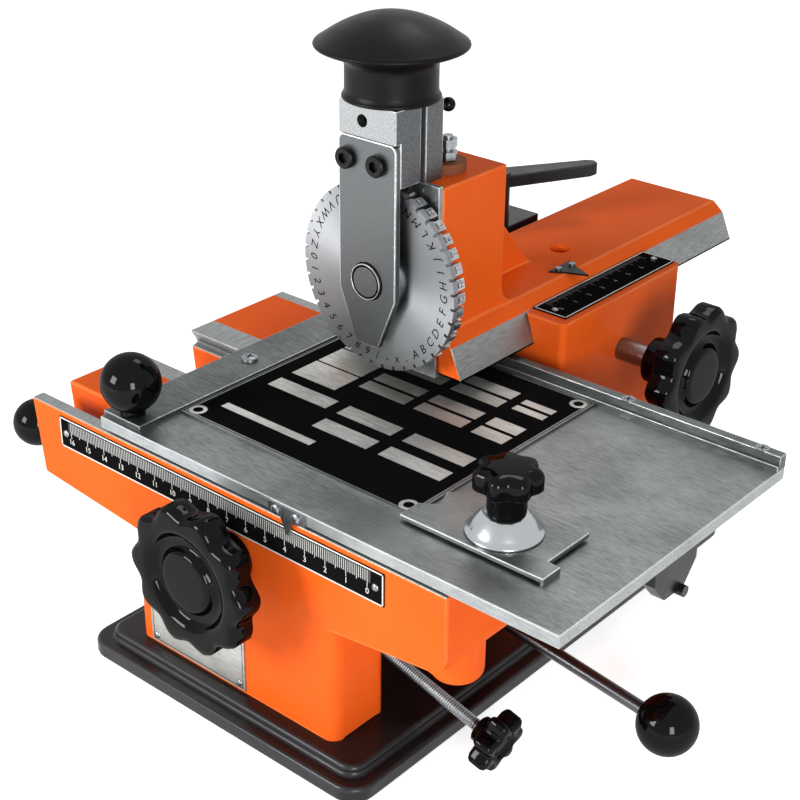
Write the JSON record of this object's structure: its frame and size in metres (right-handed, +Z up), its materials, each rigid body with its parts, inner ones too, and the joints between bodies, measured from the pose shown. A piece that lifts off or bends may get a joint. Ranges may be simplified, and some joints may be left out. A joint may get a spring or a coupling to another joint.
{
  "type": "manual metal marking machine",
  "caption": "Bench marking press with a character wheel on a sliding arm over a rack-driven table, hand knobs, scales and a feed lever.",
  "frame": {"origin": "on the bench, under the middle of the overall box", "axes": "+X along the table's travel to the operator's right, +Y from the operator to the rear along the arm, +Z up"},
  "size_m": [0.2996, 0.336, 0.2675],
  "materials": {
    "orange_paint": "satin enamel on sand casting",
    "aluminium_plate": "milled, finely scratched",
    "sand_steel": "fine sand-blasted steel",
    "ground_steel": "ground",
    "plain_steel": "turned",
    "chrome": "polished chrome",
    "bronze": "turned bronze",
    "black_enamel": "semi-gloss black enamel",
    "black_oxide": "black oxide",
    "gloss_phenolic": "glossy moulded phenolic",
    "satin_phenolic": "satin moulded plastic",
    "scale_black": "black anodised strip with white marks",
    "label_grey": "bare satin aluminium label",
    "rubber": "black rubber",
    "fence_grey": "dark grey milled aluminium",
    "sample_black": "black anodised sample plate with bare fields",
    "fibre": "brown fibre washer"
  },
  "bodies": {
    "frame": {"base_plate": "black_enamel", "rubber_feet": "rubber", "foot_screws": "plain_steel", "main_casting": "orange_paint", "casting_screws": "plain_steel", "front_scale": "scale_black", "side_scale": "scale_black", "data_plate": "label_grey", "plate_rivets": "plain_steel", "shaft_bushes": "bronze", "rocker_pin": "plain_steel", "clamp_shoe": "black_enamel", "lever_stud": "plain_steel"},
    "lever": {"clamp_lever": "black_enamel"},
    "table": {"table_slide": "orange_paint", "table_plate": "aluminium_plate", "table_rack": "plain_steel", "ratchet_strip": "plain_steel", "left_fence": "fence_grey", "back_fence": "fence_grey", "table_screws": "plain_steel", "scale_pointer": "black_oxide", "sample_plate": "sample_black", "table_ball": "gloss_phenolic", "slide_bracket": "black_enamel", "clamp_plate": "aluminium_plate", "clamp_stud": "plain_steel", "clamp_cup": "chrome"},
    "clamp_handle": {"clamp_knob": "gloss_phenolic"},
    "front_crank": {"front_hand_knob": "gloss_phenolic", "front_shaft": "plain_steel", "front_pinion": "plain_steel"},
    "arm": {"arm_casting": "orange_paint", "guide_strips": "ground_steel", "arm_screws": "plain_steel", "arm_rack": "plain_steel", "arm_pointer": "black_oxide", "depth_stop": "plain_steel", "stop_washer": "fibre", "return_spring": "plain_steel"},
    "side_crank": {"side_hand_knob": "gloss_phenolic", "side_shaft": "plain_steel", "side_pinion": "plain_steel"},
    "press": {"press_column": "sand_steel", "palm_knob": "satin_phenolic", "head_ball": "gloss_phenolic", "front_plate": "sand_steel", "press_screws": "black_oxide", "wheel_axle": "sand_steel"},
    "detent": {"detent_plunger": "black_oxide"},
    "wheel": {"character_wheel": "ground_steel", "type_blocks": "plain_steel"},
    "rocker": {"rocker": "black_oxide", "lever_rod": "black_oxide", "lever_ball": "gloss_phenolic"},
    "spacing": {"spacing_screw": "plain_steel", "star_knob": "gloss_phenolic"},
    "pawl": {"feed_pawl": "plain_steel"},
    "release": {"release_rod": "plain_steel", "release_ball": "gloss_phenolic"}
  },
  "joints": [
    {"name": "table_slide", "type": "slide", "parent": "frame", "child": "table", "axis": [1, 0, 0], "range_m": [-0.12, 0.035]},
    {"name": "front_knob", "type": "hinge", "parent": "frame", "child": "front_crank", "pos_m": [-0.00401, -0.141, 0.08297], "axis": [0, 1, 0], "range_deg": [-573.5, 167.5]},
    {"name": "clamp_knob_turn", "type": "hinge", "parent": "table", "child": "clamp_handle", "pos_m": [0.09549, -0.108, 0.127], "axis": [0, 0, 1], "continuous": true},
    {"name": "clamp_lever_turn", "type": "hinge", "parent": "frame", "child": "lever", "pos_m": [-0.05001, 0.071, 0.142], "axis": [0, 0, 1], "range_deg": [-50, 40]},
    {"name": "arm_slide", "type": "slide", "parent": "frame", "child": "arm", "axis": [0, 1, 0], "range_m": [-0.032, 0.038]},
    {"name": "side_knob", "type": "hinge", "parent": "frame", "child": "side_crank", "pos_m": [0.03549, 0.054, 0.11177], "axis": [1, 0, 0], "range_deg": [-182, 153]},
    {"name": "press", "type": "slide", "parent": "arm", "child": "press", "axis": [0, 0, -1], "range_m": [0, 0.008], "stiffness_N_per_m": 1800, "springref_m": -0.01, "deforming": ["return_spring"]},
    {"name": "wheel_turn", "type": "hinge", "parent": "press", "child": "wheel", "pos_m": [-0.01351, -0.047, 0.1645], "axis": [0, 1, 0], "continuous": true},
    {"name": "detent_slide", "type": "slide", "parent": "press", "child": "detent", "axis": [0, 0, 1], "range_m": [0, 0.0008], "stiffness_N_per_m": 200, "springref_m": -0.003},
    {"name": "feed_lever", "type": "hinge", "parent": "frame", "child": "rocker", "pos_m": [-0.03751, -0.069, 0.052], "axis": [0, 1, 0], "range_deg": [0, 4.5], "stiffness_Nm_per_rad": 0.6, "springref_deg": -17.19},
    {"name": "spacing_turn", "type": "hinge", "parent": "rocker", "child": "spacing", "pos_m": [-0.02751, -0.103, 0.0548], "axis": [0.9673, 0, -0.2538], "continuous": true},
    {"name": "pawl_turn", "type": "hinge", "parent": "rocker", "child": "pawl", "pos_m": [-0.02951, -0.074, 0.084], "axis": [0, 1, 0], "range_deg": [-10, 0], "stiffness_Nm_per_rad": 0.02, "springref_deg": 11.46},
    {"name": "release_pull", "type": "slide", "parent": "frame", "child": "release", "axis": [-1, 0, 0], "range_m": [0, 0.008]}
  ],
  "couplings": [
    {"joint": "front_knob", "follows": "table_slide", "rad_per_m": 83.333},
    {"joint": "side_knob", "follows": "arm_slide", "rad_per_m": -83.333}
  ]
}
